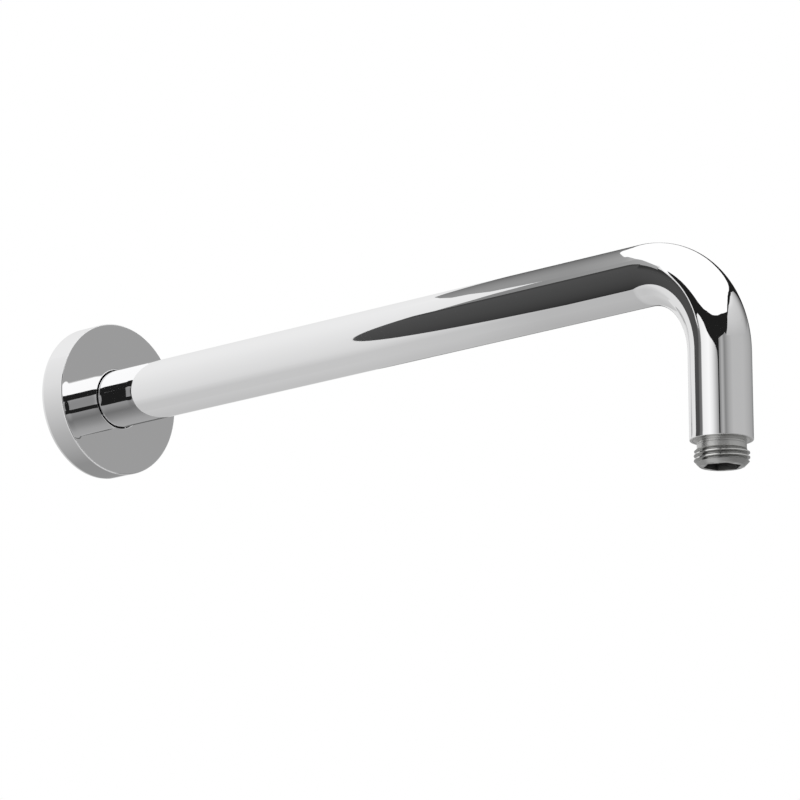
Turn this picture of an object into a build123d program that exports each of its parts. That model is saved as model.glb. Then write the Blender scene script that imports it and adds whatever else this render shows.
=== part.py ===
# Shower arm: a bent round tube that screws into the wall, with a slip-on flange and a threaded outlet
# The origin is on the tube's axis in the wall plane, X runs out of the wall and Z points up
import os

from build123d import *

os.makedirs("parts", exist_ok=True)

# Driving dimensions, in millimetres and degrees

# Arm tube
tube_diameter = 24.0
tube_wall = 1.2
arm_projection = 345.0  # wall to the axis of the drop
bend_radius = 36.0  # on the centre line
mouth_drop = 69.5  # axis of the run to the face of the lower mouth
edge_break = 0.25  # on the outside of the tube's cut ends

# Wall flange
flange_diameter = 64.0
flange_depth = 12.5
flange_wall = 2.0
flange_edge_chamfer = 0.3  # round the front of the rim
flange_root_chamfer = 1.0  # inside, where the face meets the rim and the hub
bore_clearance = 0.4  # between the tube and the flange's bore, all round
bore_chamfer = 0.5
hub_wall = 2.2  # round the bottom of the ring's groove
groove_setback = 3.6  # flange's face to the groove

# Square-cut rubber ring in the flange
ring_section = 2.4
ring_clearance = 0.2  # to the tube and to each wall of the groove

# Half-inch pipe thread, as its plain outside
thread_diameter = 20.955
thread_depth = 1.162
thread_lead = 2.0  # chamfer at the free end
thread_runout = 0.6  # chamfer at the relief

# Inlet connector
inlet_reach = 15.0  # wall plane to the thread's end, inside the wall
inlet_relief = 1.0
collar_back = 2.0  # wall plane to the back of the collar
collar_thickness = 3.0
spigot_length = 10.0
inlet_bore = 14.0

# Outlet bush, seal and nipple
bush_length = 13.0
bush_wall = 1.5
ledge_thickness = 2.0
seal_thickness = 1.5
neck_length = 3.7
outlet_thread_length = 6.2
outlet_bore = 11.0
key_size = 12.7  # across the flats of the hexagon socket
key_depth = 8.0
key_turn = 24.0  # the way the socket stands about the drop's axis

# Gaps between pieces that are soldered or screwed together
solder_gap = 0.1
thread_gap = 0.1

# Radii and places that follow from the sizes above
tube_radius = tube_diameter / 2
bore_radius = tube_radius - tube_wall
thread_radius = thread_diameter / 2
neck_radius = thread_radius - thread_depth
solder_radius = bore_radius - solder_gap
tube_start = collar_back + collar_thickness

flange_radius = flange_diameter / 2
flange_bore_radius = tube_radius + bore_clearance
flange_inside = flange_depth - flange_wall
groove_width = ring_section + 2 * ring_clearance
groove_radius = tube_radius + ring_section + 2 * ring_clearance
groove_centre = flange_depth - groove_setback - groove_width / 2
hub_radius = groove_radius + hub_wall
hub_back = groove_centre - groove_width / 2 - hub_wall

shank_radius = solder_radius - bush_wall - thread_gap
outlet_bore_radius = outlet_bore / 2
mouth_height = -mouth_drop
bush_top = mouth_height + bush_length
ledge_height = bush_top - ledge_thickness
shank_top = ledge_height - seal_thickness
thread_top = mouth_height - neck_length
nipple_end = thread_top - outlet_thread_length

drop_axis = Axis((arm_projection, 0, 0), (0, 0, 1))
drop_section = Plane(origin=(arm_projection, 0, 0), x_dir=(1, 0, 0), z_dir=(0, -1, 0))
nipple_face = Plane(origin=(arm_projection, 0, nipple_end), x_dir=(1, 0, 0), z_dir=(0, 0, 1))


# Arm tube: one hollow section carried along the run, round the bend and down the drop
with BuildPart() as arm_tube:
    with BuildLine(Plane.XZ):
        FilletPolyline(
            (tube_start, 0),
            (arm_projection, 0),
            (arm_projection, mouth_height),
            radius=bend_radius,
        )
    with BuildSketch(Plane.YZ.offset(tube_start)):
        Circle(tube_radius)
        Circle(bore_radius, mode=Mode.SUBTRACT)
    sweep()
    cut_ends = arm_tube.faces().filter_by(GeomType.PLANE)
    chamfer([edge for end in cut_ends for edge in end.outer_wire().edges()], length=edge_break)
arm_tube.part.label = "arm_tube"
export_step(arm_tube.part, "parts/arm_tube.step")

# Wall flange: a flat-faced round cup with a hub that rides on the tube and holds the rubber ring
with BuildPart() as wall_flange:
    with BuildSketch(Plane.XZ):
        with BuildLine():
            Polyline(
                (0, flange_radius),
                (flange_depth, flange_radius),
                (flange_depth, flange_bore_radius),
                (hub_back, flange_bore_radius),
                (hub_back, hub_radius),
                (flange_inside, hub_radius),
                (flange_inside, flange_radius - flange_wall),
                (0, flange_radius - flange_wall),
                close=True,
            )
        make_face()
    revolve(axis=Axis.X)
    inside_corners = wall_flange.edges().filter_by(GeomType.CIRCLE).group_by(Axis.X)[-2]
    chamfer(inside_corners, length=flange_root_chamfer)
    front_edges = wall_flange.edges().filter_by(GeomType.CIRCLE).group_by(Axis.X)[-1].sort_by(SortBy.RADIUS)
    chamfer(front_edges[-1], length=flange_edge_chamfer)
    chamfer(front_edges[0], length=bore_chamfer)
    with BuildSketch(Plane.XZ):
        with Locations((groove_centre, tube_radius)):
            Rectangle(groove_width, groove_radius - tube_radius, align=(Align.CENTER, Align.MIN))
    revolve(axis=Axis.X, mode=Mode.SUBTRACT)
wall_flange.part.label = "wall_flange"
export_step(wall_flange.part, "parts/wall_flange.step")

# Flange ring: the square-cut rubber ring that grips the tube and keeps the flange where it is pushed
with BuildPart() as flange_ring:
    with BuildSketch(Plane.XZ):
        with Locations((groove_centre, tube_radius + ring_clearance + ring_section / 2)):
            Rectangle(ring_section, ring_section)
    revolve(axis=Axis.X)
flange_ring.part.label = "flange_ring"
export_step(flange_ring.part, "parts/flange_ring.step")

# Inlet connector: a turned piece with the wall thread, a collar against the tube and a spigot in it
with BuildPart() as inlet_connector:
    with BuildSketch(Plane.XZ):
        with BuildLine():
            Polyline(
                (-inlet_reach, inlet_bore / 2),
                (-inlet_reach, thread_radius),
                (collar_back - inlet_relief, thread_radius),
                (collar_back - inlet_relief, neck_radius),
                (collar_back, neck_radius),
                (collar_back, tube_radius),
                (tube_start, tube_radius),
                (tube_start, solder_radius),
                (tube_start + spigot_length, solder_radius),
                (tube_start + spigot_length, inlet_bore / 2),
                close=True,
            )
        make_face()
    revolve(axis=Axis.X)
    turned_edges = inlet_connector.edges().filter_by(GeomType.CIRCLE).group_by(Axis.X)
    chamfer(turned_edges[0].sort_by(SortBy.RADIUS)[-1], length=thread_lead)
    chamfer(turned_edges[1].sort_by(SortBy.RADIUS)[-1], length=thread_runout)
inlet_connector.part.label = "inlet_connector"
export_step(inlet_connector.part, "parts/inlet_connector.step")

# Outlet bush: the ring soldered into the mouth, with a ledge that the seal lies against
with BuildPart() as outlet_bush:
    with BuildSketch(drop_section):
        with BuildLine():
            Polyline(
                (shank_radius + thread_gap, mouth_height),
                (solder_radius, mouth_height),
                (solder_radius, bush_top),
                (outlet_bore_radius, bush_top),
                (outlet_bore_radius, ledge_height),
                (shank_radius + thread_gap, ledge_height),
                close=True,
            )
        make_face()
    revolve(axis=drop_axis)
outlet_bush.part.label = "outlet_bush"
export_step(outlet_bush.part, "parts/outlet_bush.step")

# Nipple seal: the flat ring pressed between the bush's ledge and the nipple's upper end
with BuildPart() as nipple_seal:
    with BuildSketch(Plane.XY.offset(shank_top)):
        with Locations((arm_projection, 0)):
            Circle(shank_radius)
            Circle(outlet_bore_radius, mode=Mode.SUBTRACT)
    extrude(amount=seal_thickness)
nipple_seal.part.label = "nipple_seal"
export_step(nipple_seal.part, "parts/nipple_seal.step")

# Outlet nipple: a turned shank, neck and thread, with a hexagon socket for the key that screws it in
with BuildPart() as outlet_nipple:
    with BuildSketch(drop_section):
        with BuildLine():
            Polyline(
                (outlet_bore_radius, shank_top),
                (shank_radius, shank_top),
                (shank_radius, mouth_height),
                (neck_radius, mouth_height),
                (neck_radius, thread_top),
                (thread_radius, thread_top),
                (thread_radius, nipple_end),
                (outlet_bore_radius, nipple_end),
                close=True,
            )
        make_face()
    revolve(axis=drop_axis)
    turned_edges = outlet_nipple.edges().filter_by(GeomType.CIRCLE).group_by(Axis.Z)
    chamfer(turned_edges[0].sort_by(SortBy.RADIUS)[-1], length=thread_lead)
    chamfer(turned_edges[1].sort_by(SortBy.RADIUS)[-1], length=thread_runout)
    with BuildSketch(nipple_face):
        RegularPolygon(key_size / 2, 6, major_radius=False, rotation=key_turn)
    extrude(amount=key_depth, mode=Mode.SUBTRACT)
outlet_nipple.part.label = "outlet_nipple"
export_step(outlet_nipple.part, "parts/outlet_nipple.step")
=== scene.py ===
"""A chromed shower arm with a slip-on wall flange, dressed round its packed CAD frame."""
from math import ceil, cos, hypot, pi, radians, sin, tan

import bmesh
import bpy
from bpy.props import FloatProperty, FloatVectorProperty, IntProperty, PointerProperty
from mathutils import Matrix, Vector


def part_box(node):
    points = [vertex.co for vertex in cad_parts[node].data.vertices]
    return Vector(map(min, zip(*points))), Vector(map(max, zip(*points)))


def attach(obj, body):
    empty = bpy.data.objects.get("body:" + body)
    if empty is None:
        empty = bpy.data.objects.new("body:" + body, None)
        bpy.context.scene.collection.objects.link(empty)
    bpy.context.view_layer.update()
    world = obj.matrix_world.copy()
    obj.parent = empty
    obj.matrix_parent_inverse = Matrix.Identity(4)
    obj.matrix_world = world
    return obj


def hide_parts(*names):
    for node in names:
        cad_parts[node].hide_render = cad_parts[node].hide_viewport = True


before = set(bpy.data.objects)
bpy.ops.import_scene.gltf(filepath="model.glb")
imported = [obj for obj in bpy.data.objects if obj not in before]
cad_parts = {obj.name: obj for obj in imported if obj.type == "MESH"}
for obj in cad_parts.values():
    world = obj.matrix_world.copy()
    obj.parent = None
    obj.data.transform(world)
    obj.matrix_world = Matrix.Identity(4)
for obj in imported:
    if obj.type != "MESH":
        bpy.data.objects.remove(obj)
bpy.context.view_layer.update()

bl_info = {
    "name": "Shower Arm",
    "version": (1, 0, 0),
    "blender": (4, 5, 0),
    "location": "View3D > Sidebar > Shower Arm",
    "description": "Builds a chromed shower arm with its flange, threads and studio",
    "category": "Object",
}

MM = 0.001
SNAP = 1e-6  # points this close are one point
NEAR = 1e-5  # a corner that is looked for lies this close
THREAD_STEPS = 72  # round one turn of a thread
WHITE = (1.0, 1.0, 1.0, 1.0)

# Places read from the CAD frame
TUBE_LOW, TUBE_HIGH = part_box("arm_tube")
FLANGE_LOW, FLANGE_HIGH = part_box("wall_flange")
INLET_LOW, INLET_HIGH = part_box("inlet_connector")
NIPPLE_LOW, NIPPLE_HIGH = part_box("outlet_nipple")
TUBE_RADIUS = TUBE_HIGH.y
DROP_X = TUBE_HIGH.x - TUBE_RADIUS
MOUTH_Z = TUBE_LOW.z
DROP_AXIS = Vector((DROP_X, 0.0, 0.0))

# Finishes and painted light of the nipple's surfaces: shade against the dull plate, and lowest and highest
# roughness
DULL_ROUGHNESS = (0.28, 0.4)
NIPPLE_FINISHES_AND_PAINTED_LIGHT = {
    "dull_plate_nipple": (1.0, DULL_ROUGHNESS),
    # The socket, the grooves and the end are darker copies of the dull plate as painted shade, the crests a
    # lighter copy as a painted highlight
    "dull_plate_socket": (0.48, DULL_ROUGHNESS),
    "dull_plate_crest": (1.4, (0.12, 0.2)),
    "dull_plate_groove": (0.55, (0.2, 0.3)),
    "dull_plate_end": (0.66, DULL_ROUGHNESS),
}

# Studio, in metres
BEND = Vector((0.335, 0.0, -0.015))  # cards round the bend are laid out as seen from here
FLOOR_SIZE = 30.0
FLOOR_LIFT = 0.18  # light added to the floor where it shows as the background
DARK_PLANE = -0.185  # where the dark card stands in front of the arm
DARK_FOOT = -0.277  # its lower edge
TENT_RADIUS = 25.0
# Greys of the tent and of the light all round: height as a share of the radius, and the grey as it shows
TENT_GREYS = ((-1.0, 0.74), (-0.7, 0.795), (-0.52, 0.845), (-0.3, 0.873), (0.14, 0.9), (0.42, 0.917),
              (0.732, 0.941), (0.84, 1.03))


# Sizes and colours that a user would change

class ArmTubeSizes(bpy.types.PropertyGroup):
    """Sizes of the bent tube"""
    bend_radius: FloatProperty(
        name="Bend radius", description="Radius of the bend on the tube's centre line",
        default=0.036, min=0.013, unit="LENGTH")
    wall: FloatProperty(
        name="Wall", description="Thickness of the tube's wall",
        default=0.0012, min=0.0002, unit="LENGTH")
    edge_break: FloatProperty(
        name="Edge break", description="Rounding of the tube's cut ends",
        default=0.00025, min=0.0, unit="LENGTH")
    sides: IntProperty(
        name="Sides", description="Faces round the tube", default=128, min=24)
    bend_steps: IntProperty(
        name="Bend steps", description="Rings along the bend", default=64, min=8)


class FlangeSizes(bpy.types.PropertyGroup):
    """Sizes of the wall flange"""
    wall: FloatProperty(
        name="Wall", description="Thickness of the face and the rim",
        default=0.002, min=0.0005, unit="LENGTH")
    bore_gap: FloatProperty(
        name="Bore gap", description="Gap all round between the tube and the flange's bore",
        default=0.0004, min=0.0, unit="LENGTH")
    rim_round: FloatProperty(
        name="Rim rounding", description="Rounding of the rim's front edge",
        default=0.0003, min=0.0, unit="LENGTH")
    bore_round: FloatProperty(
        name="Bore rounding", description="Rounding of the bore's front edge",
        default=0.0005, min=0.0, unit="LENGTH")
    face_slope: FloatProperty(
        name="Face slope", description="How steeply the face falls away from the bore to the rim",
        default=radians(0.8), subtype="ANGLE")
    rim_lip: FloatProperty(
        name="Rim lip", description="Width of the faint lip round the rim", default=0.0035, unit="LENGTH")
    rim_rise: FloatProperty(
        name="Rim rise", description="How far the lip round the rim stands up",
        default=0.0001, precision=6, unit="LENGTH")
    bore_lip: FloatProperty(
        name="Bore lip", description="Width of the faint lip round the bore", default=0.0035, unit="LENGTH")
    bore_rise: FloatProperty(
        name="Bore rise", description="How far the lip round the bore stands up",
        default=0.00006, precision=6, unit="LENGTH")
    root_round: FloatProperty(
        name="Root rounding", description="Rounding inside, where the face meets the rim and the hub",
        default=0.001, min=0.0, unit="LENGTH")
    hub_radius: FloatProperty(
        name="Hub radius", description="Outside of the hub behind the face", default=0.017, unit="LENGTH")
    hub_back: FloatProperty(
        name="Hub back", description="Wall plane to the back of the hub", default=0.0039, unit="LENGTH")
    groove_centre: FloatProperty(
        name="Groove centre", description="Wall plane to the middle of the ring's groove",
        default=0.0075, unit="LENGTH")
    groove_width: FloatProperty(
        name="Groove width", description="Width of the ring's groove", default=0.0028, unit="LENGTH")
    groove_radius: FloatProperty(
        name="Groove radius", description="Bottom of the ring's groove", default=0.0148, unit="LENGTH")
    sides: IntProperty(name="Sides", description="Faces round the flange", default=192, min=24)


class ThreadSizes(bpy.types.PropertyGroup):
    """Sizes of the two pipe threads and the turned pieces that carry them"""
    pitch: FloatProperty(
        name="Pitch", description="Crest to crest",
        default=0.001814, min=0.0003, precision=6, unit="LENGTH")
    depth: FloatProperty(
        name="Depth", description="Crest to root", default=0.001162, min=0.0001, precision=6, unit="LENGTH")
    crest_width: FloatProperty(
        name="Crest width", description="Flat left on each crest",
        default=0.00038, precision=5, unit="LENGTH")
    root_width: FloatProperty(
        name="Root width", description="Flat at the bottom of the groove",
        default=0.0003, precision=5, unit="LENGTH")
    lead: FloatProperty(
        name="Lead", description="Chamfer at a thread's free end", default=0.002, unit="LENGTH")
    runout: FloatProperty(
        name="Run-out", description="Chamfer where a thread meets its neck", default=0.0006, unit="LENGTH")
    first_groove: FloatProperty(
        name="First groove", description="Height of a groove on the outlet's +X side",
        default=-0.07361, precision=6, unit="LENGTH")
    neck: FloatProperty(
        name="Neck", description="Plain neck between the mouth and the outlet's thread",
        default=0.0037, unit="LENGTH")
    shank_radius: FloatProperty(
        name="Shank radius", description="Outside of the nipple's shank in the bush",
        default=0.0091, unit="LENGTH")
    outlet_bore: FloatProperty(
        name="Outlet bore", description="Radius of the nipple's bore", default=0.0055, unit="LENGTH")
    key_size: FloatProperty(
        name="Key size", description="Hexagon socket across its flats", default=0.0127, unit="LENGTH")
    key_depth: FloatProperty(
        name="Key depth", description="Depth of the hexagon socket", default=0.008, unit="LENGTH")
    key_turn: FloatProperty(
        name="Key turn", description="Direction of one corner of the socket from +X",
        default=radians(24.0), subtype="ANGLE")
    inlet_bore: FloatProperty(
        name="Inlet bore", description="Radius of the inlet's bore", default=0.007, unit="LENGTH")
    collar_back: FloatProperty(
        name="Collar back", description="Wall plane to the back of the inlet's collar",
        default=0.002, unit="LENGTH")
    relief: FloatProperty(
        name="Relief", description="Plain relief between the inlet's thread and its collar",
        default=0.001, unit="LENGTH")
    spigot_radius: FloatProperty(
        name="Spigot radius", description="Outside of the inlet's spigot in the tube",
        default=0.0107, unit="LENGTH")
    sides: IntProperty(name="Sides", description="Faces round a turned piece", default=128, min=24)


class FinishColours(bpy.types.PropertyGroup):
    """Colours of the finishes"""
    chrome: FloatVectorProperty(
        name="Chrome plate", description="Reflecting colour of the polished chrome",
        subtype="COLOR", size=3, min=0.0, max=1.0, default=(0.945, 0.945, 0.95))
    dull: FloatVectorProperty(
        name="Dull plate", description="Colour of the unpolished plate on the turned pieces",
        subtype="COLOR", size=3, min=0.0, max=1.0, default=(0.62, 0.62, 0.61))
    rubber: FloatVectorProperty(
        name="Black rubber", description="Colour of the rubber rings",
        subtype="COLOR", size=3, min=0.0, max=1.0, default=(0.022, 0.022, 0.023))


class StudioSizes(bpy.types.PropertyGroup):
    """The studio's floor and camera"""
    floor_level: FloatProperty(
        name="Floor level", description="Height of the floor", default=-2.4, unit="LENGTH")
    floor: FloatVectorProperty(
        name="Floor", description="Colour of the floor",
        subtype="COLOR", size=3, default=(0.88, 0.88, 0.88))
    lens: FloatProperty(
        name="Lens", description="Focal length of the camera", default=224.48, unit="CAMERA")
    camera_place: FloatVectorProperty(
        name="Camera place", description="Where the camera stands", size=3, precision=4,
        subtype="TRANSLATION", default=(1.5282, -1.3759, -0.4591))
    camera_azimuth: FloatProperty(
        name="Camera azimuth", description="Way round to the camera from the front",
        default=radians(44.465), subtype="ANGLE")
    camera_elevation: FloatProperty(
        name="Camera elevation",
        description="Height of the camera against the arm as an angle, negative below it",
        default=radians(-12.631), subtype="ANGLE")
    camera_roll: FloatProperty(
        name="Camera roll", description="Lean of the camera", default=radians(-0.365), subtype="ANGLE")


# Modelling helpers

def leave_edit_and_deselect():
    """Leaves edit mode and deselects everything."""
    if bpy.context.mode != "OBJECT":
        bpy.ops.object.mode_set(mode="OBJECT")
    bpy.ops.object.select_all(action="DESELECT")


def name_new(name):
    """Names the new active object, and puts its place and turn into its mesh."""
    piece = bpy.context.active_object
    piece.name = name
    piece.data.name = name
    bpy.ops.object.transform_apply(location=True, rotation=True, scale=True)
    return piece


def start_vertex(name, place):
    """Starts a drawing as one vertex, and stays in edit mode."""
    leave_edit_and_deselect()
    bpy.ops.mesh.primitive_plane_add(size=MM, location=place)
    piece = name_new(name)
    bpy.ops.object.mode_set(mode="EDIT")
    bpy.ops.mesh.select_mode(type="VERT")
    bpy.ops.mesh.select_all(action="SELECT")
    bpy.ops.mesh.merge(type="CENTER")
    return piece


def draw_line(name, points):
    """Draws a line from point to point by extruding one vertex, and stays in edit mode."""
    points = [Vector(p) for p in points]
    piece = start_vertex(name, points[0])
    for last, point in zip(points, points[1:]):
        bpy.ops.mesh.extrude_vertices_move(TRANSFORM_OT_translate={"value": point - last})
    return piece


def select_where(piece, test, kind="verts"):
    """Selects the vertices, edges or faces of the piece in edit mode that pass the test."""
    mode = {"verts": "VERT", "edges": "EDGE", "faces": "FACE"}[kind]
    bpy.ops.mesh.select_mode(type=mode)
    bpy.ops.mesh.select_all(action="DESELECT")
    mesh = bmesh.from_edit_mesh(piece.data)
    count = 0
    for item in getattr(mesh, kind):
        if test(item):
            item.select_set(True)
            count += 1
    mesh.select_flush_mode()
    bmesh.update_edit_mesh(piece.data)
    return count


def close_up(outside=True):
    """Merges doubles and turns the faces outwards, in edit mode."""
    bpy.ops.mesh.select_all(action="SELECT")
    bpy.ops.mesh.remove_doubles(threshold=SNAP)
    if outside:
        bpy.ops.mesh.normals_make_consistent(inside=False)


def turn_on_lathe(name, profile, place, axis, sides, rounded=()):
    """Draws a closed profile, rounds the corners named and spins it round an axis."""
    piece = draw_line(name, list(profile) + [profile[0]])
    close_up(outside=False)
    for corner, radius, segments in rounded:
        corner = Vector(corner)
        if not select_where(piece, lambda v: (v.co - corner).length < NEAR):
            raise RuntimeError(f"{name} has no corner at {corner}")
        bpy.ops.mesh.bevel(offset=radius, segments=segments, affect="VERTICES")
    bpy.ops.mesh.select_all(action="SELECT")
    bpy.ops.mesh.spin(steps=sides, angle=2 * pi, center=place, axis=axis)
    close_up()
    bpy.ops.object.mode_set(mode="OBJECT")
    return piece


def pick(piece):
    """Selects the piece alone and makes it active."""
    leave_edit_and_deselect()
    piece.select_set(True)
    bpy.context.view_layer.objects.active = piece


def apply_modifier(piece, modifier):
    """Applies one modifier of the piece."""
    pick(piece)
    bpy.ops.object.modifier_apply(modifier=modifier.name)


def cut_away(piece, cutter):
    """Takes the cutter's shape out of the piece and deletes the cutter."""
    modifier = piece.modifiers.new("cut", "BOOLEAN")
    modifier.operation = "DIFFERENCE"
    modifier.solver = "EXACT"
    modifier.object = cutter
    apply_modifier(piece, modifier)
    bpy.data.objects.remove(cutter)


def thread_cutter(name, place, axis, groove, outer, sizes, low_turns, turns):
    """Winds the thread's V groove round an axis through the place, as a solid to cut away."""
    half_top = (sizes.pitch - sizes.crest_width) / 2
    slope = (half_top - sizes.root_width / 2) / sizes.depth
    over = 0.3 * MM  # how far the cutter stands out past the crests
    land = 0.03 * MM  # left on the neck's radius under the groove
    root = outer - sizes.depth + land
    rows = ((root, -sizes.root_width / 2), (root, sizes.root_width / 2),
            (outer + over, half_top + slope * over), (outer + over, -half_top - slope * over))
    start = groove - low_turns * sizes.pitch
    if axis == "Z":
        points = [Vector((r, 0.0, start + h)) for r, h in rows]
    else:
        points = [Vector((start + h, 0.0, r)) for r, h in rows]
    cutter = draw_line(name, points + points[:1])
    close_up(outside=False)
    bpy.ops.object.mode_set(mode="OBJECT")
    screw = cutter.modifiers.new("thread", "SCREW")
    screw.axis = axis
    screw.angle = 2 * pi
    screw.screw_offset = sizes.pitch
    screw.iterations = turns
    screw.steps = screw.render_steps = THREAD_STEPS
    screw.use_merge_vertices = True
    screw.merge_threshold = SNAP
    apply_modifier(cutter, screw)
    bpy.ops.object.mode_set(mode="EDIT")
    bpy.ops.mesh.select_all(action="SELECT")
    bpy.ops.mesh.fill_holes(sides=len(rows))
    close_up()
    bpy.ops.object.mode_set(mode="OBJECT")
    cutter.location = place
    return cutter


def smooth_by_angle(piece, angle=30.0):
    """Shades the piece smooth, apart from its sharp edges."""
    pick(piece)
    bpy.ops.object.shade_smooth_by_angle(angle=radians(angle))


def dress(piece, materials):
    """Gives the piece its materials, in order."""
    piece.data.materials.clear()
    for material in materials:
        piece.data.materials.append(material)


def hand_over(piece, body, node):
    """Lets the piece ride on its body in the place of a CAD node."""
    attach(piece, body)
    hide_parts(node)


# Materials

def grey(shown):
    """The light value of a grey as it shows on a screen, from 0 to 1."""
    return shown / 12.92 if shown <= 0.04045 else ((shown + 0.055) / 1.055) ** 2.4


def add_node(tree, kind, **values):
    """Adds a node and sets its inputs by name."""
    node = tree.nodes.new(kind)
    for key, value in values.items():
        node.inputs[key.replace("_", " ")].default_value = value
    return node


def combine(tree, operation, *values):
    """Adds a Math node on the sockets and numbers given."""
    node = tree.nodes.new("ShaderNodeMath")
    node.operation = operation
    for socket, value in zip(node.inputs, values):
        if isinstance(value, bpy.types.NodeSocket):
            tree.links.new(value, socket)
        else:
            socket.default_value = value
    return node.outputs["Value"]


def mix_colours(tree, factor, first, second):
    """Mixes two colours by a factor that changes over the surface."""
    mix = tree.nodes.new("ShaderNodeMix")
    mix.data_type = "RGBA"
    mix.inputs["A"].default_value = (*first, 1.0)
    mix.inputs["B"].default_value = (*second, 1.0)
    tree.links.new(factor, mix.inputs["Factor"])
    return mix.outputs["Result"]


def add_bump(tree, shader, height, strength, distance):
    """Lets a height ruffle the shader's normal."""
    bump = add_node(tree, "ShaderNodeBump", Strength=strength, Distance=distance)
    tree.links.new(height, bump.inputs["Height"])
    tree.links.new(bump.outputs["Normal"], shader.inputs["Normal"])


def wipe_marks_group():
    """Node group: soft smudges and fine hairlines of a wiped metal surface."""
    if "Wipe marks" in bpy.data.node_groups:
        return bpy.data.node_groups["Wipe marks"]
    tree = bpy.data.node_groups.new("Wipe marks", "ShaderNodeTree")
    for label, kind, default in (
            ("Vector", "NodeSocketVector", None), ("Smudge Scale", "NodeSocketFloat", 40.0),
            ("Hairline Scale", "NodeSocketFloat", 900.0), ("Low", "NodeSocketFloat", 0.02),
            ("High", "NodeSocketFloat", 0.05)):
        socket = tree.interface.new_socket(label, in_out="INPUT", socket_type=kind)
        if default is not None:
            socket.default_value = default
    tree.interface.new_socket("Roughness", in_out="OUTPUT", socket_type="NodeSocketFloat")
    tree.interface.new_socket("Height", in_out="OUTPUT", socket_type="NodeSocketFloat")
    entry = tree.nodes.new("NodeGroupInput")
    leave = tree.nodes.new("NodeGroupOutput")
    link = tree.links.new
    smudge = add_node(tree, "ShaderNodeTexNoise", Detail=3.0, Roughness=0.55)
    link(entry.outputs["Vector"], smudge.inputs["Vector"])
    link(entry.outputs["Smudge Scale"], smudge.inputs["Scale"])
    spread = add_node(tree, "ShaderNodeMapRange", From_Min=0.35, From_Max=0.72)
    link(smudge.outputs["Fac"], spread.inputs["Value"])
    link(entry.outputs["Low"], spread.inputs["To Min"])
    link(entry.outputs["High"], spread.inputs["To Max"])
    link(spread.outputs["Result"], leave.inputs["Roughness"])
    hairline = add_node(tree, "ShaderNodeTexNoise", Detail=2.0, Roughness=0.6)
    link(entry.outputs["Vector"], hairline.inputs["Vector"])
    link(entry.outputs["Hairline Scale"], hairline.inputs["Scale"])
    link(hairline.outputs["Fac"], leave.inputs["Height"])
    return tree


def blank_material(name):
    """A fresh material with no nodes."""
    material = bpy.data.materials.new(name)
    material.use_nodes = True
    material.node_tree.nodes.clear()
    return material, material.node_tree


def new_material(name):
    """A fresh material with one Principled shader."""
    material, tree = blank_material(name)
    shader = tree.nodes.new("ShaderNodeBsdfPrincipled")
    result = tree.nodes.new("ShaderNodeOutputMaterial")
    tree.links.new(shader.outputs["BSDF"], result.inputs["Surface"])
    return material, tree, shader


def place_wipe_marks(tree, **values):
    """Places the wipe marks group on Object coordinates."""
    where = tree.nodes.new("ShaderNodeTexCoord")
    marks = tree.nodes.new("ShaderNodeGroup")
    marks.node_tree = wipe_marks_group()
    tree.links.new(where.outputs["Object"], marks.inputs["Vector"])
    for key, value in values.items():
        marks.inputs[key.replace("_", " ")].default_value = value
    return where, marks


def chrome_material(colours):
    """Polished chrome plate, with the faint smudges of a wiped surface."""
    if "chrome_plate_polished" in bpy.data.materials:
        return bpy.data.materials["chrome_plate_polished"]
    material, tree, shader = new_material("chrome_plate_polished")
    shader.inputs["Base Color"].default_value = (*colours.chrome, 1.0)
    shader.inputs["Metallic"].default_value = 1.0
    _, marks = place_wipe_marks(tree, Smudge_Scale=34.0, Hairline_Scale=520.0, Low=0.012, High=0.032)
    tree.links.new(marks.outputs["Roughness"], shader.inputs["Roughness"])
    add_bump(tree, shader, marks.outputs["Height"], strength=0.012, distance=0.02 * MM)
    return material


def turned_material(name, colours, direction, shade=1.0, rough=DULL_ROUGHNESS):
    """Dull plate over turned metal, with tool rings across the lathe's axis."""
    if name in bpy.data.materials:
        return bpy.data.materials[name]
    material, tree, shader = new_material(name)
    link = tree.links.new
    shader.inputs["Metallic"].default_value = 1.0
    where, marks = place_wipe_marks(
        tree, Smudge_Scale=160.0, Hairline_Scale=2600.0, Low=rough[0], High=rough[1])
    link(marks.outputs["Roughness"], shader.inputs["Roughness"])
    rings = add_node(tree, "ShaderNodeTexWave", Scale=620.0, Distortion=1.6, Detail=2.0, Detail_Scale=2.0)
    rings.wave_type = "BANDS"
    rings.bands_direction = direction
    link(where.outputs["Object"], rings.inputs["Vector"])
    blotch = add_node(tree, "ShaderNodeTexNoise", Scale=420.0, Detail=3.0)
    link(where.outputs["Object"], blotch.inputs["Vector"])
    # A shade other than one makes a darker or lighter copy of the dull plate, used as painted shade or a
    # painted highlight
    dull = [shade * c for c in colours.dull]
    darker, lighter = [0.92 * c for c in dull], [min(1.0, 1.06 * c) for c in dull]
    link(mix_colours(tree, blotch.outputs["Fac"], darker, lighter), shader.inputs["Base Color"])
    ring_share = 0.6  # height of the tool rings against the hairlines
    height = combine(tree, "MULTIPLY_ADD", rings.outputs["Fac"], ring_share, marks.outputs["Height"])
    add_bump(tree, shader, height, strength=0.16, distance=0.03 * MM)
    return material


def rubber_material(colours):
    """Plain black rubber with a fine moulded grain."""
    if "black_rubber_moulded" in bpy.data.materials:
        return bpy.data.materials["black_rubber_moulded"]
    material, tree, shader = new_material("black_rubber_moulded")
    link = tree.links.new
    _, marks = place_wipe_marks(tree, Smudge_Scale=220.0, Hairline_Scale=1800.0, Low=0.5, High=0.72)
    link(marks.outputs["Roughness"], shader.inputs["Roughness"])
    worn = [1.8 * c for c in colours.rubber]
    link(mix_colours(tree, marks.outputs["Height"], colours.rubber, worn), shader.inputs["Base Color"])
    add_bump(tree, shader, marks.outputs["Height"], strength=0.3, distance=0.05 * MM)
    return material


# Pieces

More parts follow.
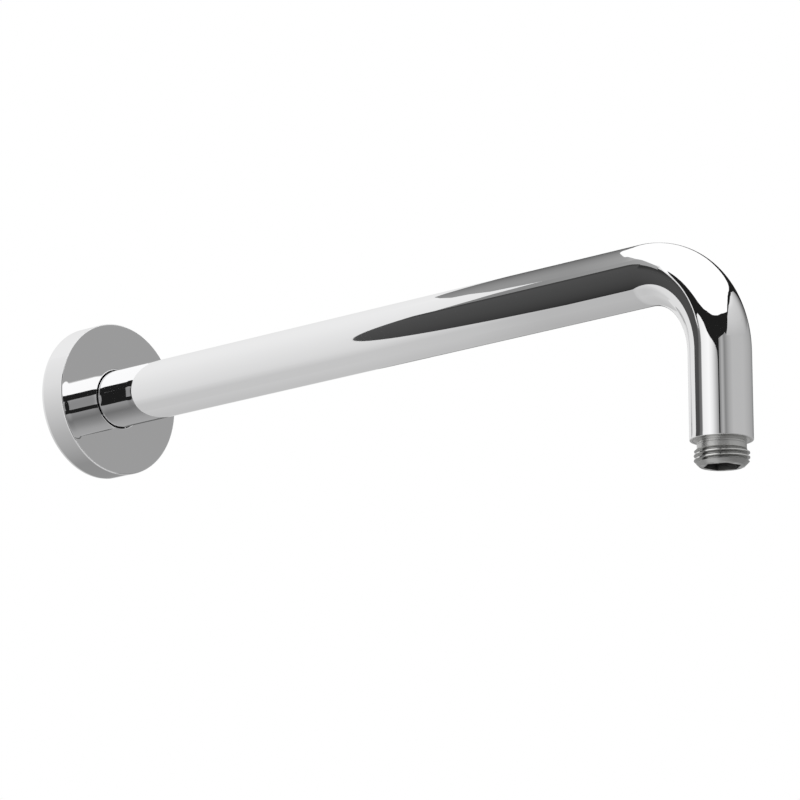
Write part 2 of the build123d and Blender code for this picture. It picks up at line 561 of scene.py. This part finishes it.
class SHOWERARM_OT_arm_tube(bpy.types.Operator):
    """Build the bent chrome tube, with its bore and its cut ends"""
    bl_idname = "showerarm.arm_tube"
    bl_label = "Arm Tube"

    def execute(self, context):
        sizes = context.scene.shower_arm_tube
        colours = context.scene.shower_arm_finish
        bend = sizes.bend_radius
        start = TUBE_LOW.x
        bend_x = DROP_X - bend
        support = 2.0 * MM  # rings this far from each change of shape keep the shading true
        leave_edit_and_deselect()
        bpy.ops.mesh.primitive_circle_add(
            vertices=sizes.sides, radius=TUBE_RADIUS, location=(start, 0, 0), rotation=(0, pi / 2, 0))
        tube = name_new("arm_tube_polished")
        bpy.ops.object.mode_set(mode="EDIT")
        bpy.ops.mesh.select_mode(type="EDGE")
        bpy.ops.mesh.select_all(action="SELECT")
        for x0, x1 in ((start, start + support), (start + support, bend_x - support),
                       (bend_x - support, bend_x)):
            bpy.ops.mesh.extrude_region_move(TRANSFORM_OT_translate={"value": (x1 - x0, 0, 0)})
        bpy.ops.mesh.spin(
            steps=sizes.bend_steps, angle=pi / 2, center=(bend_x, 0, -bend), axis=(0, -1, 0))
        for z0, z1 in ((-bend, -bend - support), (-bend - support, MOUTH_Z + support),
                       (MOUTH_Z + support, MOUTH_Z)):
            bpy.ops.mesh.extrude_region_move(TRANSFORM_OT_translate={"value": (0, 0, z1 - z0)})
        close_up()
        mesh = bmesh.from_edit_mesh(tube.data)
        mesh.faces.ensure_lookup_table()
        first = mesh.faces[0]
        middle = first.calc_center_median()
        if first.normal.dot(Vector((0, middle.y, middle.z))) < 0:
            bpy.ops.mesh.flip_normals()
        bpy.ops.object.mode_set(mode="OBJECT")
        dress(tube, (chrome_material(colours), turned_material("dull_plate_inside", colours, "X")))
        shell = tube.modifiers.new("wall", "SOLIDIFY")
        shell.thickness = sizes.wall
        shell.offset = -1.0
        shell.use_even_offset = True
        shell.material_offset = 1
        shell.material_offset_rim = 1
        apply_modifier(tube, shell)
        bpy.ops.object.mode_set(mode="EDIT")

        def on_outer_rim(edge):
            ends = [v.co for v in edge.verts]
            inside = TUBE_RADIUS - 0.1 * MM  # the bore's edge lies within this
            back = all(abs(p.x - start) < SNAP and hypot(p.y, p.z) > inside for p in ends)
            low = all(abs(p.z - MOUTH_Z) < SNAP and hypot(p.x - DROP_X, p.y) > inside for p in ends)
            return back or low

        if not select_where(tube, on_outer_rim, "edges"):
            raise RuntimeError("the tube's ends were not found")
        bpy.ops.mesh.bevel(offset=sizes.edge_break, segments=3, affect="EDGES", material=0)
        bpy.ops.object.mode_set(mode="OBJECT")
        smooth_by_angle(tube, 40.0)
        hand_over(tube, "arm", "arm_tube")
        return {"FINISHED"}


class SHOWERARM_OT_wall_flange(bpy.types.Operator):
    """Build the chrome flange, with a face that falls slightly to the rim, its hub and the ring's groove"""
    bl_idname = "showerarm.wall_flange"
    bl_label = "Wall Flange"

    def execute(self, context):
        sizes = context.scene.shower_arm_flange
        colours = context.scene.shower_arm_finish
        back, front, rim = FLANGE_LOW.x, FLANGE_HIGH.x, FLANGE_HIGH.y
        bore = TUBE_RADIUS + sizes.bore_gap
        inside = front - sizes.wall
        inner = rim - sizes.wall
        low, high = (sizes.groove_centre + side * sizes.groove_width / 2 for side in (-1, 1))
        support = 1.0 * MM  # rings this far from the rim's ends keep the shading true
        rim_margin = 0.4 * MM  # left for the rounding of the rim's edge
        back_round = 0.15 * MM
        rim_steps, bore_steps = 10, 6  # rings across each lip

        def at(x, r):
            return (x, 0.0, r)

        def on_face(r):
            lip = max(0.0, 1.0 - (r - bore) / sizes.bore_lip)
            out = min(max((r - rim + sizes.rim_round) / sizes.rim_lip + 1.0, 0.0), 1.0)
            level = front - sizes.bore_rise * (1.0 - lip ** 3) - tan(sizes.face_slope) * (r - bore)
            return at(level + sizes.rim_rise * out * out * (3.0 - 2.0 * out), r)

        rim_edge, bore_edge = on_face(rim), on_face(bore)
        rim_face = [
            on_face(rim - rim_margin - sizes.rim_lip * step / rim_steps) for step in range(rim_steps + 1)]
        bore_face = [
            on_face(bore + sizes.bore_lip * step / bore_steps) for step in range(bore_steps, 0, -1)]
        profile = [
            at(back, rim), at(back + support, rim), at(front - support, rim),
            rim_edge, *rim_face, *bore_face, bore_edge,
            at(high, bore), at(high, sizes.groove_radius), at(low, sizes.groove_radius), at(low, bore),
            at(sizes.hub_back, bore), at(sizes.hub_back, sizes.hub_radius), at(inside, sizes.hub_radius),
            at(inside, inner), at(back + support, inner), at(back, inner),
        ]
        rounded = (
            (rim_edge, sizes.rim_round, 4),
            (bore_edge, sizes.bore_round, 4),
            (at(inside, sizes.hub_radius), sizes.root_round, 3),
            (at(inside, inner), sizes.root_round, 3),
            (at(back, rim), back_round, 2),
            (at(back, inner), back_round, 2),
        )
        flange = turn_on_lathe("wall_flange_polished", profile, (0, 0, 0), (1, 0, 0), sizes.sides, rounded)
        dress(flange, (chrome_material(colours),))
        smooth_by_angle(flange, 35.0)
        hand_over(flange, "flange", "wall_flange")
        return {"FINISHED"}


class SHOWERARM_OT_inlet_connector(bpy.types.Operator):
    """Build the turned inlet with its pipe thread, collar and spigot"""
    bl_idname = "showerarm.inlet_connector"
    bl_label = "Inlet Connector"

    def execute(self, context):
        sizes = context.scene.shower_arm_thread
        colours = context.scene.shower_arm_finish
        end, spigot_end = INLET_LOW.x, INLET_HIGH.x
        crest = NIPPLE_HIGH.y
        neck = crest - sizes.depth
        thread_end = sizes.collar_back - sizes.relief
        bore = sizes.inlet_bore
        collar = INLET_HIGH.y
        collar_round, end_round = 0.2 * MM, 0.4 * MM

        def at(x, r):
            return (x, 0.0, r)

        profile = [
            at(end, bore), at(end, crest - sizes.lead), at(end + sizes.lead, crest),
            at(thread_end - sizes.runout, crest), at(thread_end, crest - sizes.runout),
            at(thread_end, neck),
            at(sizes.collar_back, neck), at(sizes.collar_back, collar), at(TUBE_LOW.x, collar),
            at(TUBE_LOW.x, sizes.spigot_radius), at(spigot_end, sizes.spigot_radius), at(spigot_end, bore),
        ]
        rounded = (
            (at(sizes.collar_back, collar), collar_round, 2),
            (at(end, bore), end_round, 2),
            (at(spigot_end, sizes.spigot_radius), end_round, 2),
        )
        inlet = turn_on_lathe("inlet_connector_turned", profile, (0, 0, 0), (1, 0, 0), sizes.sides, rounded)
        turns = int((thread_end - end) / sizes.pitch) + 3
        cutter = thread_cutter("inlet_groove", (0, 0, 0), "X", end, crest, sizes, low_turns=1, turns=turns)
        cut_away(inlet, cutter)
        dress(inlet, (turned_material("dull_plate_inlet", colours, "X"),))
        smooth_by_angle(inlet)
        hand_over(inlet, "arm", "inlet_connector")
        return {"FINISHED"}


class SHOWERARM_OT_outlet_nipple(bpy.types.Operator):
    """Build the turned outlet nipple with its neck, pipe thread and hexagon socket"""
    bl_idname = "showerarm.outlet_nipple"
    bl_label = "Outlet Nipple"

    def execute(self, context):
        sizes = context.scene.shower_arm_thread
        colours = context.scene.shower_arm_finish
        top, end, crest = NIPPLE_HIGH.z, NIPPLE_LOW.z, NIPPLE_HIGH.y
        neck = crest - sizes.depth
        thread_top = MOUTH_Z - sizes.neck
        bore, shank = sizes.outlet_bore, sizes.shank_radius

        def at(r, z):
            return (DROP_X + r, 0.0, z)

        ring_drops = (0.75 * MM, 1.55 * MM)  # the mouth to each tool ring on the neck
        ring_width, ring_flank, ring_depth = 0.28 * MM, 0.08 * MM, 0.16 * MM
        end_round = 0.2 * MM
        rings = []
        for drop in ring_drops:
            z = MOUTH_Z - drop
            rings += [at(neck, z), at(neck - ring_depth, z - ring_flank),
                      at(neck - ring_depth, z - ring_width + ring_flank), at(neck, z - ring_width)]
        profile = [
            at(bore, top), at(shank, top), at(shank, MOUTH_Z), at(neck, MOUTH_Z), *rings,
            at(neck, thread_top),
            at(crest - sizes.runout, thread_top), at(crest, thread_top - sizes.runout),
            at(crest, end + sizes.lead), at(crest - sizes.lead, end), at(bore, end),
        ]
        rounded = ((at(crest - sizes.lead, end), end_round, 2),)
        nipple = turn_on_lathe("outlet_nipple_turned", profile, DROP_AXIS, (0, 0, 1), sizes.sides, rounded)
        cutter = thread_cutter(
            "outlet_groove", DROP_AXIS, "Z", sizes.first_groove, crest, sizes, low_turns=5, turns=6)
        cut_away(nipple, cutter)
        leave_edit_and_deselect()
        corner = sizes.key_size / 2 / cos(pi / 6)
        bpy.ops.mesh.primitive_cylinder_add(
            vertices=6, radius=corner, depth=2 * sizes.key_depth, location=(DROP_X, 0, end),
            rotation=(0, 0, sizes.key_turn - radians(30.0)))
        key = name_new("key_shape")
        cut_away(nipple, key)
        dress(nipple, [
            turned_material(name, colours, "Z", *finish_or_painted_light) for name, finish_or_painted_light in NIPPLE_FINISHES_AND_PAINTED_LIGHT.items()])
        order = list(NIPPLE_FINISHES_AND_PAINTED_LIGHT)
        end_face = end + 0.05 * MM
        end_top = end + 0.6 * sizes.lead  # the end's painted shade stops part way up the lead
        thread_root, groove_bottom = neck - 0.1 * MM, neck + 0.2 * MM  # radii
        steep, facing_down = 0.5, -0.3  # upright part of a face's normal
        # Painted light by where a face lies: painted shade in the socket, in the grooves and on the flanks
        # facing down, and on the end; a painted highlight on the crests and the flanks facing up
        for face in nipple.data.polygons:
            out, height = hypot(face.center.x - DROP_X, face.center.y), face.center.z
            finish_or_painted_light = "dull_plate_nipple"
            if height > end_face and out < corner and abs(face.normal.z) < steep:
                finish_or_painted_light = "dull_plate_socket"
            elif out > thread_root and end_top < height < thread_top:
                in_groove = face.normal.z < facing_down or out < groove_bottom
                finish_or_painted_light = "dull_plate_groove" if in_groove else "dull_plate_crest"
            elif out > corner and height < end_top:
                finish_or_painted_light = "dull_plate_end"
            face.material_index = order.index(finish_or_painted_light)
        smooth_by_angle(nipple)
        hand_over(nipple, "arm", "outlet_nipple")
        return {"FINISHED"}


class SHOWERARM_OT_hidden_rings(bpy.types.Operator):
    """Finish the bush and the two rubber rings, whose CAD shapes are kept"""
    bl_idname = "showerarm.hidden_rings"
    bl_label = "Bush and Rings"

    def execute(self, context):
        colours = context.scene.shower_arm_finish
        finishes = {
            "outlet_bush": turned_material("dull_plate_bush", colours, "Z"),
            "flange_ring": rubber_material(colours),
            "nipple_seal": rubber_material(colours),
        }
        for node, material in finishes.items():
            dress(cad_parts[node], (material,))
        return {"FINISHED"}


# Studio

def set_ramp(node, stops):
    """Sets a colour ramp to greys as they show on a screen."""
    elements = node.color_ramp.elements
    elements[0].position = stops[0][0]
    elements[1].position = stops[-1][0]
    for place, _ in stops[1:-1]:
        elements.new(place)
    for element, (_, shown) in zip(elements, stops):
        value = grey(shown)
        element.color = (value, value, value, 1.0)


def grey_ramp(tree, value, stops):
    """Greys along a value, from the first stop to the last."""
    low, high = stops[0][0], stops[-1][0]
    spread = add_node(tree, "ShaderNodeMapRange", From_Min=low, From_Max=high)
    ramp = tree.nodes.new("ShaderNodeValToRGB")
    tree.links.new(value, spread.inputs["Value"])
    tree.links.new(spread.outputs["Result"], ramp.inputs["Fac"])
    set_ramp(ramp, [((place - low) / (high - low), shown) for place, shown in stops])
    return ramp.outputs["Color"]


def background_rays(tree):
    """One for rays that show the background, from the camera, metal or glass, and nought for the rest."""
    path = tree.nodes.new("ShaderNodeLightPath")
    shown = path.outputs["Is Camera Ray"]
    for kind in ("Is Glossy Ray", "Is Transmission Ray"):
        shown = combine(tree, "MAXIMUM", shown, path.outputs[kind])
    return shown


def card_ramp(tree, along, stops):
    """Greys along a card's height or length in metres, or round the bend or the arm in degrees."""
    link = tree.links.new
    where = tree.nodes.new("ShaderNodeTexCoord")
    shift = tree.nodes.new("ShaderNodeMapping")
    split = tree.nodes.new("ShaderNodeSeparateXYZ")
    link(where.outputs["Object"], shift.inputs["Vector"])
    link(shift.outputs["Vector"], split.inputs["Vector"])
    if along in ("height", "length"):
        return grey_ramp(tree, split.outputs["Z" if along == "height" else "X"], stops)
    ramp = tree.nodes.new("ShaderNodeValToRGB")
    turn = tree.nodes.new("ShaderNodeTexGradient")
    turn.gradient_type = "RADIAL"
    flat = tree.nodes.new("ShaderNodeCombineXYZ")
    # The start is where the front lies on the radial gradient
    if along == "bend":
        shift.inputs["Location"].default_value = -BEND
        first, second, start = "X", "Y", 0.25
    else:
        shift.inputs["Scale"].default_value = (1.0, -1.0, 1.0)
        first, second, start = "Y", "Z", 0.5
    link(split.outputs[first], flat.inputs["X"])
    link(split.outputs[second], flat.inputs["Y"])
    link(flat.outputs["Vector"], turn.inputs["Vector"])
    link(turn.outputs["Fac"], ramp.inputs["Fac"])
    set_ramp(ramp, [(start + angle / 360.0, shown) for angle, shown in stops])
    return ramp.outputs["Color"]


def card_material(name, shown=1.0, reach=None, **ramps):
    """A shining card of one grey, or of ramps named for the way they run, multiplied.

    With a reach, only rays of a length between the two given see it, and it is clear to the rest.
    """
    material, tree = blank_material(name)
    light = tree.nodes.new("ShaderNodeEmission")
    result = tree.nodes.new("ShaderNodeOutputMaterial")
    tree.links.new(light.outputs["Emission"], result.inputs["Surface"])
    value = grey(shown)
    light.inputs["Color"].default_value = (value, value, value, 1.0)
    colour = None
    for along, stops in ramps.items():
        more = card_ramp(tree, along, stops)
        if colour is not None:
            both = tree.nodes.new("ShaderNodeVectorMath")
            both.operation = "MULTIPLY"
            tree.links.new(colour, both.inputs[0])
            tree.links.new(more, both.inputs[1])
            more = both.outputs["Vector"]
        colour = more
    if colour is not None:
        tree.links.new(colour, light.inputs["Color"])
    if reach is not None:
        near, far = reach
        path = tree.nodes.new("ShaderNodeLightPath")
        within = combine(tree, "COMPARE", path.outputs["Ray Length"], (near + far) / 2, (far - near) / 2)
        clear = tree.nodes.new("ShaderNodeBsdfTransparent")
        either = tree.nodes.new("ShaderNodeMixShader")
        tree.links.new(within, either.inputs["Fac"])
        tree.links.new(clear.outputs["BSDF"], either.inputs[1])
        tree.links.new(light.outputs["Emission"], either.inputs[2])
        tree.links.new(either.outputs["Shader"], result.inputs["Surface"])
    return material


def hang_for_mirrors(card, material):
    """Gives a card its greys and shows it to mirrors alone."""
    dress(card, (material,))
    card.visible_camera = False
    card.visible_diffuse = False
    card.visible_transmission = False
    card.visible_shadow = False


def build_card(name, first_edge, second_edge, **greys):
    """Draws one edge of a card, pulls it out, sets each new corner on the second edge and hangs the card."""
    first_edge = [Vector(p) for p in first_edge]
    second_edge = [Vector(p) for p in second_edge]
    pull = Vector((0.011, 0.013, 0.017))  # a short way that no card's edge runs along
    card = draw_line(name, first_edge)
    bpy.ops.mesh.select_all(action="SELECT")
    bpy.ops.mesh.extrude_region_move(TRANSFORM_OT_translate={"value": pull})
    mesh = bmesh.from_edit_mesh(card.data)
    for vertex in mesh.verts:
        if vertex.select:
            gaps = [(vertex.co - pull - p).length for p in first_edge]
            vertex.co = second_edge[gaps.index(min(gaps))]
    bmesh.update_edit_mesh(card.data)
    bpy.ops.object.mode_set(mode="OBJECT")
    hang_for_mirrors(card, card_material(f"{name}_grey", **greys))


def fill_rows(rows, step=4.0):
    """Adds rows between the given ones, so that none stand further apart than the step."""
    filled = [rows[0]]
    for last, row in zip(rows, rows[1:]):
        count = max(1, ceil((row[0] - last[0]) / step))
        filled += [[a + (b - a) * i / count for a, b in zip(last, row)] for i in range(1, count + 1)]
    return filled


def bend_card(name, radius, rows, **greys):
    """Builds a card that stands round the bend: rows of azimuth, low and high elevation in degrees."""
    low, high = [], []
    for azimuth, down, up in fill_rows(rows):
        x = BEND.x + radius * sin(radians(azimuth))
        y = BEND.y - radius * cos(radians(azimuth))
        low.append((x, y, BEND.z + radius * tan(radians(down))))
        high.append((x, y, BEND.z + radius * tan(radians(up))))
    build_card(name, low, high, **greys)


def arm_card(name, radius, rows, **greys):
    """Builds a card bent round the arm: rows of angle up from the front in degrees, near and far x."""
    near, far = [], []
    for angle, x0, x1 in fill_rows(rows):
        y, z = -radius * cos(radians(angle)), radius * sin(radians(angle))
        near.append((x0, y, z))
        far.append((x1, y, z))
    build_card(name, near, far, **greys)


class SHOWERARM_OT_studio(bpy.types.Operator):
    """Set up the camera, the light, the floor, and the tent and cards that the chrome mirrors"""
    bl_idname = "showerarm.studio"
    bl_label = "Studio"

    def execute(self, context):
        scene = context.scene
        sizes = scene.shower_arm_studio
        self.add_camera(scene, sizes)
        self.add_world(scene)
        self.add_floor(sizes)
        self.add_tent()
        self.add_front_cards()
        self.add_side_wall()
        self.add_overhead_cards()
        self.add_low_cards()
        scene.view_settings.view_transform = "Standard"
        return {"FINISHED"}

    def add_camera(self, scene, sizes):
        data = bpy.data.cameras.new("studio_camera")
        data.lens = sizes.lens
        data.sensor_width = 36.0
        data.clip_start = 0.05
        data.clip_end = 60.0
        camera = bpy.data.objects.new("studio_camera", data)
        scene.collection.objects.link(camera)
        turn = (Matrix.Rotation(sizes.camera_azimuth, 4, "Z")
                @ Matrix.Rotation(pi / 2 - sizes.camera_elevation, 4, "X")
                @ Matrix.Rotation(sizes.camera_roll, 4, "Z"))
        camera.matrix_world = Matrix.Translation(Vector(sizes.camera_place)) @ turn
        scene.camera = camera

    def add_world(self, scene):
        world = bpy.data.worlds.new("studio_white")
        scene.world = world
        world.use_nodes = True
        tree = world.node_tree
        tree.nodes.clear()
        link = tree.links.new
        where = tree.nodes.new("ShaderNodeTexCoord")
        split = tree.nodes.new("ShaderNodeSeparateXYZ")
        link(where.outputs["Generated"], split.inputs["Vector"])
        seen = tree.nodes.new("ShaderNodeMix")
        seen.data_type = "RGBA"
        seen.inputs["B"].default_value = WHITE
        link(background_rays(tree), seen.inputs["Factor"])
        link(grey_ramp(tree, split.outputs["Z"], TENT_GREYS), seen.inputs["A"])
        sky = tree.nodes.new("ShaderNodeBackground")
        link(seen.outputs["Result"], sky.inputs["Color"])
        result = tree.nodes.new("ShaderNodeOutputWorld")
        link(sky.outputs["Background"], result.inputs["Surface"])

    def add_floor(self, sizes):
        leave_edit_and_deselect()
        bpy.ops.mesh.primitive_plane_add(size=FLOOR_SIZE, location=(0.2, 0, sizes.floor_level))
        floor = name_new("studio_floor")
        material, tree, shader = new_material("studio_floor_pale")
        shader.inputs["Base Color"].default_value = (*sizes.floor, 1.0)
        shader.inputs["Roughness"].default_value = 0.7
        shader.inputs["Emission Color"].default_value = WHITE
        lift = combine(tree, "MULTIPLY", background_rays(tree), FLOOR_LIFT)
        tree.links.new(lift, shader.inputs["Emission Strength"])
        dress(floor, (material,))
        floor.visible_glossy = False

    def add_tent(self):
        leave_edit_and_deselect()
        bpy.ops.mesh.primitive_uv_sphere_add(segments=96, ring_count=48, radius=TENT_RADIUS)
        tent = name_new("studio_tent")
        material = card_material(
            "studio_tent_grey", height=[(TENT_RADIUS * up, shown) for up, shown in TENT_GREYS])
        material.cycles.emission_sampling = "NONE"  # only mirrors see it, so it is no lamp
        hang_for_mirrors(tent, material)

    def add_front_cards(self):
        bottom = (-0.003, 0.10, 0.12, 0.14, 0.17)
        top = ((0.0, 0.127), (0.10, 0.127), (0.12, 0.13), (0.14, 0.128), (0.16, 0.118))
        build_card(
            "card_dark", [(x, DARK_PLANE, DARK_FOOT) for x in bottom], [(x, DARK_PLANE, z) for x, z in top],
            height=((DARK_FOOT, 0.17), (-0.22, 0.21), (-0.04, 0.28), (0.09, 0.31), (0.127, 0.22)))
        rows = ((-47, -60, 27.3), (-44.5, -60, 26.9), (-42, 11.5, 26.5), (-39.5, 12.4, 25.6),
                (-38, 13, 24.9), (-36.8, 13.8, 24.4), (-36.4, 14, 20), (-35.6, 14.5, 16.5))
        bend_card("card_dark_end", 1.05, rows, height=((-0.3, 0.27), (0.25, 0.29), (0.38, 0.2)))
        rows = ((-34.2, 21.5, 25), (-33.4, 19.5, 28.8), (-32.6, 13.5, 28.8), (-28, 16, 28.6),
                (-21, 18, 28.2), (-11, 18, 27.6), (-6, 17, 27.9), (1, 16, 28.5), (9, 15, 29.8),
                (17, 14, 30.5), (24, 11.5, 31), (26, -23, 31.2), (45, -23, 34), (60, -23, 37),
                (64, 10, 37.5), (88, 10, 40), (99, 10, 45), (112, 10, 48.3), (125, 10, 50),
                (141, 10, 49.5), (160, 10, 46), (180, 10, 41), (200, 10, 37), (212, 10, 33),
                (222, 10, 26))
        bend_card("card_black", 1.53, rows, shown=0.12)
        rows = ((-46, -60, 14), (-33, -60, 14), (-28, -60, 17), (-25, -60, 18.2), (-23, -60, 19),
                (-17, -60, 19.9), (-10, -60, 19.8), (-3, -60, 18.1), (6, -60, 16.6), (16, -60, 15),
                (26, -60, 12.6), (33.5, -60, 11.9))
        bend_card("card_front", 1.47, rows, bend=(
            (-46, 0.33), (-40, 0.4), (-33, 0.44), (-30, 0.5), (-27, 0.95), (0, 1.0), (12, 0.93), (22, 0.8),
            (33, 0.58)))
        rows = ((-36, 24, 72), (60, 24, 72), (100, 35, 72), (212, 35, 72))
        bend_card("card_bright", 1.62, rows, shown=1.03)

    def add_side_wall(self):
        rows = ((37.7, -12, 17), (48, -12, 19), (58, -12, 21), (62, -12, 22.5), (67, -12, 20.3),
                (197, -12, 20.3), (200, -12, 14), (228, -12, 14))
        bend_card("card_wall", 1.50, rows, bend=(
            (38, 0.54), (41, 0.56), (46, 0.68), (50, 0.68), (57, 0.52), (70, 0.66), (85, 0.73), (130, 0.73),
            (155, 0.69), (180, 0.64), (200, 0.52), (228, 0.4)))
        rows = ((66.5, 20, 20.5), (67.5, 20, 21.5), (73.5, 20, 26), (78.5, 20, 31), (84, 20, 36),
                (95, 20, 41), (107, 20, 44.5), (125, 20, 46.5), (138, 20, 46.8), (158, 20, 44),
                (166, 20, 41), (175, 20, 37.5), (183, 20, 32.5), (190, 20, 27), (197, 20, 20.5))
        bend_card(
            "card_wall_top", 1.50, rows,
            bend=((66, 0.9), (100, 0.9), (150, 0.88), (165, 0.82), (175, 0.72), (185, 0.55)),
            height=((0.53, 0.81), (0.71, 0.85), (0.89, 0.885), (1.08, 0.905), (1.29, 0.93), (1.47, 1.0)))
        rows = ((20, -70, -23), (60, -70, -23), (66, -70, -12), (220, -70, -12))
        bend_card("card_wall_low", 1.51, rows, bend=(
            (40, 0.6), (52, 0.5), (60, 0.46), (72, 0.5), (86, 0.54), (100, 0.58), (120, 0.64), (145, 0.67)))
        # The flange's face mirrors these two, and the bend and the drop, which stand nearer, don't
        edge = [(0.36, 0.42, 0.065), (0.60, 0.42, 0.065)]
        build_card("card_face", edge, [(x, y, 0.24) for x, y, _ in edge], shown=0.62, reach=(0.545, 2.0))
        edge = [(0.84, 0.9, -0.26), (1.04, 0.9, -0.26)]
        build_card("card_face_low", edge, [(x, y, 0.15) for x, y, _ in edge], shown=0.4, reach=(1.2, 2.0))

    def add_overhead_cards(self):
        rows = ((50, 0.02, 0.112), (54, 0.005, 0.10), (58, -0.009, 0.092), (61, -0.022, 0.086),
                (73, -0.037, 0.062), (77, -0.049, 0.06), (90, -0.058, 0.057), (106, -0.064, 0.054),
                (116, -0.058, 0.054), (122, -0.052, 0.058), (134, -0.04, 0.068), (141, -0.033, 0.085),
                (165, -0.02, 0.12))
        arm_card(
            "card_overhead", 0.30, rows,
            arm=((50, 0.74), (74, 0.74), (92, 0.7), (105, 0.66), (124, 0.58), (145, 0.44), (160, 0.26)),
            length=((-0.07, 0.8), (0.03, 0.8), (0.06, 0.85), (0.08, 0.92)))
        rows = ((25.6, 0.117, 0.119), (27.6, 0.110, 0.123), (31, 0.095, 0.141), (33.6, 0.075, 0.143),
                (35, -0.058, 0.141), (39, -0.046, 0.133), (43, -0.033, 0.126), (47.5, -0.021, 0.118),
                (52, 0.005, 0.105))
        arm_card("card_ledge", 0.302, rows, length=((-0.06, 0.5), (0.0, 0.55), (0.05, 0.6), (0.14, 0.66)))
        rows = ((36, 0.05, 0.172), (46, 0.05, 0.2), (48, 0.03, 0.42), (120, 0.03, 0.42),
                (128, 0.03, 0.37), (138, 0.03, 0.31))
        arm_card("card_above", 0.315, rows, shown=1.03)

    def add_low_cards(self):
        rows = ((-180, -0.629, -0.611), (-140, -0.625, -0.601), (-100, -0.62, -0.596),
                (-40, -0.615, -0.592), (10, -0.615, -0.592), (40, -0.618, -0.594), (70, -0.622, -0.598))
        # The flange's rim mirrors this one, and the bend, which stands further off, doesn't
        arm_card("card_rim", 0.6, rows, reach=(0.0, 1.0), arm=(
            (-180, 0.6), (-160, 0.57), (-108, 0.565), (-79, 0.64), (-49, 0.7), (-11, 0.795), (26, 0.88),
            (70, 0.925)))
        rows = ((-178, -5.0, 0.25), (-95, -5.0, 0.25))
        arm_card(
            "card_low", 0.8, rows, arm=((-178, 0.955), (-140, 0.965), (-95, 1.0)),
            length=((-5.0, 0.84), (-2.3, 0.82), (-1.3, 0.795), (-0.8, 0.795), (-0.6, 0.798), (-0.5, 0.777),
                    (-0.43, 0.728)))
        rows = ((-95, -5.0, 0.25), (-40, -5.0, 0.25))
        arm_card(
            "card_low_front", 0.8, rows, arm=((-95, 0.93), (-62, 0.93), (-40, 1.0)),
            length=((-5.0, 0.885), (-2.3, 0.88), (-1.3, 0.85), (-0.9, 0.837), (-0.57, 0.85), (-0.48, 0.832),
                    (-0.43, 0.788)))
        edge = [(-0.05, -0.4, -0.6), (0.3, -0.4, -0.6)]
        build_card("card_below", edge, [(x, 0.45, z) for x, _, z in edge])


# Sidebar and registration

class SHOWERARM_PT_sidebar(bpy.types.Panel):
    """Sidebar page with the shower arm's sizes and steps"""
    bl_idname = "SHOWERARM_PT_sidebar"
    bl_label = "Shower Arm"
    bl_space_type = "VIEW_3D"
    bl_region_type = "UI"
    bl_category = "Shower Arm"

    def draw(self, context):
        for title, group in PROPERTY_GROUPS.items():
            box = self.layout.box()
            sizes = getattr(context.scene, title)
            box.label(text=group.__doc__)
            for name in group.__annotations__:
                box.prop(sizes, name)
        for step in STEPS:
            self.layout.operator(step.bl_idname)


PROPERTY_GROUPS = {
    "shower_arm_tube": ArmTubeSizes,
    "shower_arm_flange": FlangeSizes,
    "shower_arm_thread": ThreadSizes,
    "shower_arm_finish": FinishColours,
    "shower_arm_studio": StudioSizes,
}
STEPS = (
    SHOWERARM_OT_arm_tube, SHOWERARM_OT_wall_flange, SHOWERARM_OT_inlet_connector,
    SHOWERARM_OT_outlet_nipple, SHOWERARM_OT_hidden_rings, SHOWERARM_OT_studio,
)
CLASSES = (*PROPERTY_GROUPS.values(), *STEPS, SHOWERARM_PT_sidebar)


def register():
    for item in CLASSES:
        bpy.utils.register_class(item)
    for title, group in PROPERTY_GROUPS.items():
        setattr(bpy.types.Scene, title, PointerProperty(type=group))


def unregister():
    for title in PROPERTY_GROUPS:
        delattr(bpy.types.Scene, title)
    for item in reversed(CLASSES):
        bpy.utils.unregister_class(item)


def main():
    """Builds every piece and the studio."""
    register()
    bpy.ops.showerarm.arm_tube()
    bpy.ops.showerarm.wall_flange()
    bpy.ops.showerarm.inlet_connector()
    bpy.ops.showerarm.outlet_nipple()
    bpy.ops.showerarm.hidden_rings()
    bpy.ops.showerarm.studio()


if __name__ == "__main__":
    main()
